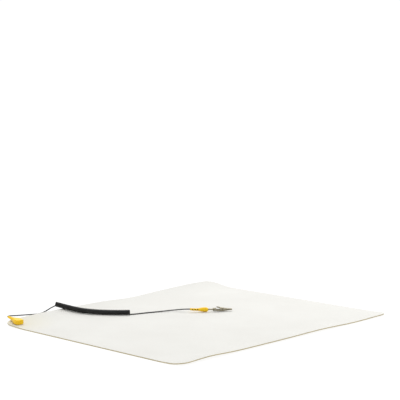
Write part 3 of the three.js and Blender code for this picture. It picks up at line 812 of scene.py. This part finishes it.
def housing_shape(u):
    """Half width, half height, roundness and middle height of the housing's section at u along it.

    The nose is a superellipse in plan; past the shoulder the width and then the height ease into the
    round tail, whose line rises as the square of the distance.
    """
    nose_start = HOUSING_SHOULDER - 3 * MM
    nose = np.clip((nose_start - u) / (HOUSING_NOSE + nose_start), 0, 1)
    radius = np.interp(u, [TAIL_START, TAIL_END], [TAIL_START_RADIUS, TAIL_END_RADIUS])
    taper = smooth((u - HOUSING_SHOULDER) / (TAIL_START - HOUSING_SHOULDER))
    flatten = smooth((u - HOUSING_SHOULDER - 4 * MM) / (TAIL_START - HOUSING_SHOULDER - 2 * MM))
    half_width = HOUSING_WIDTH / 2 * (1 - nose**3) ** (1 / 3)
    half_height = HOUSING_HEIGHT / 2 * (1 - nose**8) ** (1 / 8)
    rise = TAIL_RISE * np.clip((u - TAIL_START / 2) / (TAIL_END - TAIL_START / 2), 0, None) ** 2
    return (
        half_width + (radius - half_width) * taper,
        half_height + (radius - half_height) * flatten,
        5 - 3 * taper,
        STUD_BOTTOM + HOUSING_HEIGHT / 2 + rise,
    )


def make_housing():
    """The moulded housing: superellipse sections with a fine parting line, and a pocket for the socket."""
    share = np.linspace(0, 1, 24, endpoint=False)
    nose = -HOUSING_NOSE + (HOUSING_NOSE - 2 * MM) * (1 - np.sqrt(1 - share**2))
    body = np.linspace(nose[-1], TAIL_END, 75)[1:]
    u = np.concatenate([nose, body])
    half_width, half_height, power, middle = (v[:, None] for v in housing_shape(u))
    angle = 2 * np.pi * np.arange(72) / 72
    c, s = np.cos(angle), np.sin(angle)
    reach = (np.abs(c) ** power + np.abs(s) ** power) ** (-1 / power)
    parting = 1 - 0.018 * bump(np.sin(angle) / 0.06)
    y = -c * reach * half_width * parting
    z = middle + s * reach * half_height
    points = np.stack(np.broadcast_arrays(u[:, None], y, z), -1)
    last = points[-1].mean(0)
    cap = last + (points[-1] - last)[None] * np.array([0.55, 0])[:, None, None]
    points = np.concatenate([points, cap])
    quads = grid_faces(len(points), 72, True)
    mesh = weld(mesh_from("snap_housing_body", place(points, SNAP_FRAME), quads))
    housing = piece("snap_housing_body", mesh, [yellow], 50)
    pocket_radius, pocket_top = SOCKET_RADIUS + GAP, SOCKET_TOP + GAP
    profile = [[0, 0], [pocket_radius, 0], [pocket_radius, pocket_top], [0, pocket_top]]
    pocket = piece("pocket", turned_mesh("pocket", profile, SNAP_FRAME), [yellow])
    cut(housing, [pocket], 50)
    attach(housing, "root")
    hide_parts("snap_housing")
    return housing


def rounded(points, radius, steps=3):
    """A profile whose inner corners are rounded by quadratic curves, each starting the radius away."""
    points = np.asarray(points, float)
    before, corner, after = points[:-2], points[1:-1], points[2:]
    size_in = np.minimum(radius, 0.45 * np.linalg.norm(corner - before, axis=1, keepdims=True))
    size_out = np.minimum(radius, 0.45 * np.linalg.norm(after - corner, axis=1, keepdims=True))
    a = (corner + size_in * unit(before - corner))[:, None]
    b = (corner + size_out * unit(after - corner))[:, None]
    t = np.linspace(0, 1, steps + 1)[None, :, None]
    arcs = (1 - t) ** 2 * a + 2 * t * (1 - t) * corner[:, None] + t**2 * b
    return np.vstack([points[:1], arcs.reshape(-1, 2), points[-1:]])


def make_turned_piece(name, node, finish, profile, matrix, radius=0.08 * MM, sides=64):
    """A turned piece with rounded corners that stands for one node."""
    made = piece(name, turned_mesh(name, rounded(profile, radius), matrix, sides), [finish], 40)
    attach(made, "root")
    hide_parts(node)
    return made


def make_snap_metal():
    """The stud, the rivet that clinches it and the spring socket in the housing, each turned."""
    flange, neck, head = STUD_FLANGE_RADIUS, STUD_NECK_RADIUS, STUD_HEAD_RADIUS
    start = [STUD_BORE_RADIUS, STUD_BOTTOM + 0.5 * MM]
    stud = [
        start,
        [STUD_BORE_RADIUS, STUD_BOTTOM],
        [flange, STUD_BOTTOM],
        [flange, STUD_FLANGE_TOP],
        [neck, STUD_FLANGE_TOP + 0.1 * MM],
        [neck, STUD_FLANGE_TOP + 0.7 * MM],
        [head, STUD_FLANGE_TOP + 1.1 * MM],
        [head, STUD_TOP - 0.5 * MM],
        [head - 0.5 * MM, STUD_TOP],
        [STUD_BORE_RADIUS, STUD_TOP],
        start,
    ]
    make_turned_piece("snap_stud_turned", "snap_stud", snap_metal, stud, SNAP_FRAME)
    shank = STUD_BORE_RADIUS - GAP
    cap_top = RIVET_INSET + RIVET_THICKNESS
    rivet = [
        [0, RIVET_INSET], [RIVET_RADIUS, RIVET_INSET], [RIVET_RADIUS, cap_top], [shank, cap_top],
        [shank, STUD_TOP - GAP], [0, STUD_TOP - GAP],
    ]
    make_turned_piece(
        "snap_rivet_turned", "snap_rivet", snap_metal, rivet, SNAP_FRAME, 0.15 * MM
    )
    bottom, roof = STUD_FLANGE_TOP + GAP, STUD_TOP + GAP
    socket = [
        [0, roof], [SOCKET_BORE, roof], [SOCKET_BORE, bottom], [SOCKET_RADIUS, bottom],
        [SOCKET_RADIUS, SOCKET_TOP], [0, SOCKET_TOP],
    ]
    return make_turned_piece(
        "snap_socket_turned", "snap_socket", snap_metal, socket, SNAP_FRAME
    )


# Boot and pin


def along_x(matrix):
    """The matrix that lays a piece turned about Z along the local X axis."""
    turn = np.array([[0, 0, 1, 0], [0, 1, 0, 0], [-1, 0, 0, 0], [0, 0, 0, 1.0]])
    return matrix @ turn


def box_mesh(name, low, high):
    """A closed box of six faces between two corners."""
    x, y, z = (np.array([low[i], high[i]]) for i in range(3))
    points = np.stack(np.meshgrid(x, y, z, indexing="ij"), -1).reshape(-1, 3)
    quads = np.array([[0, 1, 3, 2], [4, 6, 7, 5], [0, 4, 5, 1], [2, 3, 7, 6], [0, 2, 6, 4], [1, 5, 7, 3]])
    return weld(mesh_from(name, points, quads))


def make_boot():
    """The plug's boot: a turned drop with a bore, three slots through its tail, and the tail then bent."""
    wire_bore, pin_bore = WIRE_RADIUS + GAP, PIN_RADIUS + GAP
    seat = BOOT_FRONT - PIN_SEAT
    drop = MM * np.array([
        [2.3, -27.2], [2.42, -20.0], [2.6, -12.4], [2.9, -10.2], [3.45, -7.4], [4.05, -4.2],
        [4.5, -0.9], [4.7, 1.9], [4.66, 4.2], [4.35, 6.4], [3.75, 8.1], [2.9, 9.3], [2.4, 9.7],
    ])
    line = even_route(np.column_stack([drop, np.zeros(len(drop))]), 0.4 * MM)[:, :2]
    outline = np.vstack([
        [[wire_bore, BOOT_TAIL], [BOOT_TAIL_RADIUS - 0.3 * MM, BOOT_TAIL]],
        line,
        [[pin_bore, BOOT_FRONT], [pin_bore, seat], [wire_bore, seat]],
        np.column_stack([np.full(30, wire_bore), np.linspace(seat, BOOT_TAIL, 31)[1:]]),
    ])
    straight = turned_mesh("plug_boot_body", outline, along_x(np.eye(4)), 48)
    boot = piece("plug_boot_body", straight, [yellow], 50)
    slots = []
    for i in range(BOOT_RIBS):
        middle = BOOT_TAIL + BOOT_FIRST_SLOT + i * BOOT_RIB_PITCH
        half = BOOT_TAIL_RADIUS + 0.3 * MM - BOOT_WEB
        low = (middle - BOOT_RIB_SLOT / 2, -2 * BOOT_RADIUS, -half)
        high = (middle + BOOT_RIB_SLOT / 2, 2 * BOOT_RADIUS, half)
        slots.append(piece(f"slot_{i}", box_mesh(f"slot_{i}", low, high), [yellow]))
    cut(boot, slots, 50)
    mesh = boot.data
    points = np.empty(3 * len(mesh.vertices), np.float32)
    mesh.vertices.foreach_get("co", points)
    bent = place(bend_tail(points.reshape(-1, 3).astype(float)), CLIP_FRAME)
    mesh.vertices.foreach_set("co", bent.astype(np.float32).ravel())
    mesh.update()
    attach(boot, "root")
    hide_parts("plug_boot")
    return boot


def make_pin():
    """The banana pin: a shank, and a swollen end in the clip's barrel."""
    start, end = BOOT_FRONT - PIN_SEAT + GAP, CLIP_START + BARREL_LENGTH - 0.6 * MM
    swell = PIN_RADIUS + 0.2 * MM
    profile = [
        [0, start], [PIN_RADIUS, start], [PIN_RADIUS, CLIP_START], [swell, CLIP_START + 1.5 * MM],
        [swell, end - 1.5 * MM], [PIN_RADIUS - 0.5 * MM, end], [0, end],
    ]
    return make_turned_piece(
        "plug_pin_turned", "plug_pin", clip_metal, profile, along_x(CLIP_FRAME), 0.3 * MM, 40
    )


# Clip


def channel_section(half_width, low, high, corner, count=5):
    """One U section for every station: down one wall, round a corner, across and up the other wall.

    All sizes are arrays over the stations; gives Y and Z with one row for each station.
    """
    turn = np.radians(np.linspace(0, 90, count))[None]
    w, low, high = half_width[:, None], low[:, None], high[:, None]
    corner = np.minimum(corner, 0.6 * (high - low))
    wall = np.linspace(0, 1, count, endpoint=False)[None]
    left_y, left_z = -w + 0 * wall, high + (low + corner - high) * wall
    arc_y, arc_z = -w + corner * (1 - np.cos(turn)), low + corner * (1 - np.sin(turn))
    half_y = np.hstack([left_y, arc_y])
    half_z = np.hstack([left_z, arc_z])
    floor_y = 0 * w
    return np.hstack([half_y, floor_y, -half_y[:, ::-1]]), np.hstack([half_z, low, half_z[:, ::-1]])


def tooth_wave(x, offset):
    """A triangular wave of the tooth depth about the offset, from the first tooth to the tip."""
    phase = np.mod((x - TEETH_START) / TOOTH_PITCH, 1)
    return offset + TOOTH_DEPTH * (0.5 - np.abs(1 - 2 * phase))


def jaw_half_width(x, half_width):
    """Even up to the taper's start, then narrowing evenly to the tip."""
    return np.interp(x, [TAPER_START, CLIP_END], [half_width, TIP_HALF_WIDTH])


def make_lower_jaw():
    """A bent channel that closes behind into a round barrel with a seam on top."""
    barrel_end = CLIP_START + BARREL_LENGTH
    tip_start = PIVOT_X + 6 * MM
    x = np.concatenate([
        np.linspace(CLIP_START, tip_start, 90, endpoint=False),
        np.arange(tip_start, CLIP_END, 0.1 * MM),
    ])
    mm = x / MM
    low = MM * np.interp(
        mm, [19.7, 25.5, 27.6, 41, 49.6, 59.2, 59.7],
        [-2.5, -2.5, -LOWER_DEPTH / MM, -LOWER_DEPTH / MM, -1.7, -0.95, -0.7]
    )
    ear = np.sqrt(np.clip(1 - ((mm - 38) / 3.1) ** 2, 0, None))
    top = MM * np.interp(mm, [19.7, 25.5, 33, 42.4, 43.4], [0.3, 0.3, 0.3, -0.5, -0.4])
    top = np.maximum(top, MM * (0.2 + 2.2 * ear) * (ear > 0))
    toothed = x >= TEETH_START - TOOTH_PITCH / 2
    top = np.where(toothed, tooth_wave(x, -GAP / 2 - TOOTH_DEPTH / 4), top)
    half_width = jaw_half_width(x, LOWER_HALF_WIDTH)
    y, z = channel_section(half_width, low, top, 0.8 * MM)
    angle = np.radians(np.linspace(168, -168, y.shape[1]))
    closed = 1 - smooth((x - barrel_end + 0.4 * MM) / (2.2 * MM))[:, None]
    ring_y, ring_z = -BARREL_RADIUS * np.sin(angle)[None], -BARREL_RADIUS * np.cos(angle)[None]
    points = np.stack(
        np.broadcast_arrays(x[:, None], y + (ring_y - y) * closed, z + (ring_z - z) * closed), -1
    )
    mesh = mesh_from("clip_lower_sheet", place(points, CLIP_FRAME), grid_faces(*points.shape[:2])[:, ::-1])
    jaw = thicken(piece("clip_lower_sheet", mesh, [clip_metal]), CLIP_WALL, 0.1 * MM)
    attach(jaw, "root")
    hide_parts("clip_lower_jaw")
    return jaw


def make_upper_jaw():
    """An upturned channel whose side walls drop to ears at the pivot."""
    start = PIVOT_X - 3.4 * MM
    x = np.arange(start, CLIP_END, 0.1 * MM)
    mm = x / MM
    roof = MM * np.interp(mm, [34.6, 36, 38, 41, 49.6, 59.2, 59.7], [2.9, 3.2, 3.4, 2.9, 1.35, 0.85, 0.55])
    ear = np.sqrt(np.clip(1 - ((mm - 38) / 2.9) ** 2, 0, None))
    skirt = MM * np.interp(mm, [34.6, 35.2, 41, 46], [2.4, 0.9, 0.2, 0.1])
    skirt = np.minimum(skirt, MM * (0.8 - 1.7 * ear))
    toothed = x >= TEETH_START - TOOTH_PITCH / 2
    skirt = np.where(toothed, tooth_wave(x, GAP / 2 + TOOTH_DEPTH / 4), skirt)
    y, z = channel_section(jaw_half_width(x, UPPER_HALF_WIDTH), -roof, -skirt, 0.9 * MM)
    points = np.stack(np.broadcast_arrays(x[:, None], y, -z), -1)
    mesh = mesh_from("clip_upper_sheet", place(points, CLIP_FRAME), grid_faces(*points.shape[:2]))
    jaw = thicken(piece("clip_upper_sheet", mesh, [clip_metal]), CLIP_WALL, 0.1 * MM)
    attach(jaw, "clip_jaw")
    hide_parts("clip_upper_jaw")
    return jaw


def make_lever():
    """The thumb lever: a strip that climbs back from the roof and rolls over at its end."""
    roll = LEVER_ROLL_RADIUS - 0.3 * MM
    centre = np.array([LEVER_X, LEVER_TOP - LEVER_ROLL_RADIUS])
    turn = np.radians(np.linspace(75, 560, 40))
    spiral = roll * np.interp(turn, np.radians([75, 330, 560]), [1, 1, 0.25])[:, None]
    curl = centre + spiral * np.column_stack([np.cos(turn), np.sin(turn)])
    climb = MM * np.array([[39.2, 3.55], [37.4, 3.5], [35.6, 3.65], [33.4, 4.25], [31.0, 4.95]])
    line = np.vstack([climb, curl])
    line = even_route(np.column_stack([line[:, 0], np.zeros(len(line)), line[:, 1]]), 0.2 * MM)
    share = np.linspace(0, 1, len(line))
    half = LEVER_WIDTH / 2 * (1 + 0.12 * smooth((share - 0.3) / 0.4))
    across = np.linspace(-1, 1, 9)
    fade = 1 - smooth((share - 0.4) / 0.2)
    height = line[:, 2:] + LEVER_CROWN * (1 - across**2) * fade[:, None]
    points = np.stack(np.broadcast_arrays(line[:, :1], half[:, None] * across, height), -1)
    mesh = mesh_from("clip_lever", place(points, CLIP_FRAME), grid_faces(*points.shape[:2])[:, ::-1])
    lever = thicken(piece("clip_lever", mesh, [clip_metal]), LEVER_SHEET, 0.1 * MM)
    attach(lever, "clip_jaw")
    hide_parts("clip_upper_jaw")
    return lever


def make_flanges():
    """The side walls folded down from the lever's strip, one on each side."""
    top = np.array([[28.6, 5.2], [31.0, 4.75], [33.4, 4.05], [35.6, 3.45], [37.4, 3.3]]) * MM
    bottom = np.array([[28.6, 4.2], [31.0, 3.0], [33.4, 2.4], [35.6, 2.3], [37.4, 2.3]]) * MM
    inner, outer = LEVER_WIDTH / 2 - 0.1 * MM, LEVER_WIDTH / 2 + 0.4 * MM
    count = len(top)
    made = []
    for sign in (-1, 1):
        sides = sign * np.array([inner, outer, outer, inner])
        points = np.stack([
            np.column_stack([line[:, 0], np.full(count, y), line[:, 1]])
            for line, y in zip((top, top, bottom, bottom), sides)
        ], 1)
        corners = 4 * np.arange(count - 1)[:, None]
        band = np.concatenate([corners + [k, (k + 1) % 4, (k + 1) % 4 + 4, k + 4] for k in range(4)])
        ends = np.array([[0, 3, 2, 1], [0, 1, 2, 3]]) + [[0], [4 * (count - 1)]]
        name = "clip_flange_left" if sign > 0 else "clip_flange_right"
        mesh = weld(mesh_from(name, place(points, CLIP_FRAME), np.concatenate([band, ends])))
        flange = piece(name, mesh, [clip_metal])
        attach(flange, "clip_jaw")
        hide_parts("clip_upper_jaw")
        made.append(flange)
    return made


def make_pivot():
    """The rivet through both jaws, with a domed head at each end."""
    start = UPPER_HALF_WIDTH + GAP
    dome = np.linspace(0, 1, 6)
    head_r = PIVOT_HEAD_RADIUS * np.sqrt(1 - dome**2)
    head_z = start + PIVOT_HEAD_THICKNESS * (0.35 + 0.65 * dome)
    shank = [[PIVOT_RADIUS, 0], [PIVOT_RADIUS, start], [PIVOT_HEAD_RADIUS, start]]
    half = np.vstack([shank, np.column_stack([head_r, head_z])])
    profile = np.vstack([half[:0:-1] * [1, -1], half])
    axis = np.array([[1, 0, 0, PIVOT_X], [0, 0, -1, 0], [0, 1, 0, PIVOT_Z], [0, 0, 0, 1.0]])
    rivet = piece("clip_rivet", turned_mesh("clip_rivet", profile, CLIP_FRAME @ axis, 32), [clip_metal], 40)
    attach(rivet, "root")
    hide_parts("clip_pivot")
    return rivet


def make_spring():
    """The jaw spring: plain turns round the rivet."""
    turns = np.linspace(0, SPRING_TURNS, SPRING_TURNS * 24 + 1)
    angle = 2 * np.pi * turns
    width = SPRING_PITCH * SPRING_TURNS
    path = np.column_stack([
        PIVOT_X + SPRING_RADIUS * np.cos(angle),
        (turns / SPRING_TURNS - 0.5) * width,
        PIVOT_Z + SPRING_RADIUS * np.sin(angle),
    ])
    guide = np.tile([0, 1.0, 0], (len(path), 1))
    turn = CLIP_FRAME[:3, :3]
    mesh = tube_mesh("clip_coil_spring", place(path, CLIP_FRAME), guide @ turn.T, SPRING_WIRE_RADIUS, 10)
    spring = piece("clip_coil_spring", mesh, [snap_metal], 60)
    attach(spring, "root")
    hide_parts("clip_spring")
    return spring


make_camera()
make_light()
make_floor()
cord, cord_path = make_cord()
housing = make_housing()
socket = make_snap_metal()
boot = make_boot()
on_cord = [
    housing, socket, boot, make_pin(),
    make_lower_jaw(), make_upper_jaw(), make_lever(), make_pivot(), make_spring(),
] + make_flanges()
make_mat()
